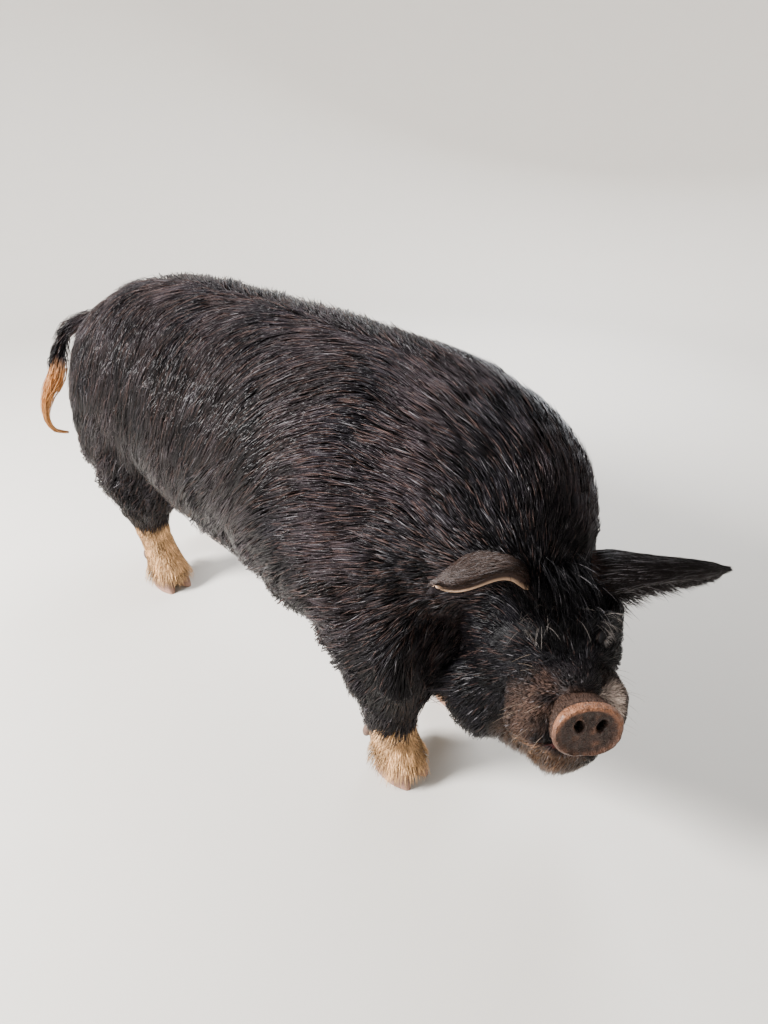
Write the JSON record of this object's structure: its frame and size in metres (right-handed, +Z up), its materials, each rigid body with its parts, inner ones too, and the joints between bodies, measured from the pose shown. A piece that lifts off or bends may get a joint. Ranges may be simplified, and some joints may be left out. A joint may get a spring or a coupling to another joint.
{
  "type": "pig",
  "caption": "Life-size hairy black pig, a still museum model, standing with its head low and turned to its right, with pale feet and a ginger tail switch.",
  "frame": {"origin": "on the floor under the middle of the model's box", "axes": "the pig faces -Y, its left side is +X, +Z is up"},
  "size_m": [0.4242, 1.3058, 0.6547],
  "materials": {
    "black_coat": "long flat black-brown bristles",
    "face_hair": "short black hair",
    "leg_hair": "short hair, tan at the feet",
    "ginger_switch": "long ginger hair",
    "snout_rind": "bare skin, dusted with soil",
    "hoof_horn": "dull horn",
    "eye": "wet gloss",
    "ear_leather": "thin hairy skin"
  },
  "bodies": {
    "root": {"claw_front_left_inner": "hoof_horn", "claw_front_left_outer": "hoof_horn", "claw_front_right_inner": "hoof_horn", "claw_front_right_outer": "hoof_horn", "claw_hind_left_inner": "hoof_horn", "claw_hind_left_outer": "hoof_horn", "claw_hind_right_inner": "hoof_horn", "claw_hind_right_outer": "hoof_horn", "dewclaw_front_left_inner": "hoof_horn", "dewclaw_front_left_outer": "hoof_horn", "dewclaw_front_right_inner": "hoof_horn", "dewclaw_front_right_outer": "hoof_horn", "dewclaw_hind_left_inner": "hoof_horn", "dewclaw_hind_left_outer": "hoof_horn", "dewclaw_hind_right_inner": "hoof_horn", "dewclaw_hind_right_outer": "hoof_horn", "ear_left": "ear_leather", "ear_right": "ear_leather", "eye_left": "eye", "eye_right": "eye", "head": "face_hair", "leg_front_left": "leg_hair", "leg_front_right": "leg_hair", "leg_hind_left": "leg_hair", "leg_hind_right": "leg_hair", "lower_jaw": "face_hair", "neck": "black_coat", "snout_disc": "snout_rind", "tail_dock": "black_coat", "tail_switch": "ginger_switch", "trunk": "black_coat"}
  },
  "joints": []
}
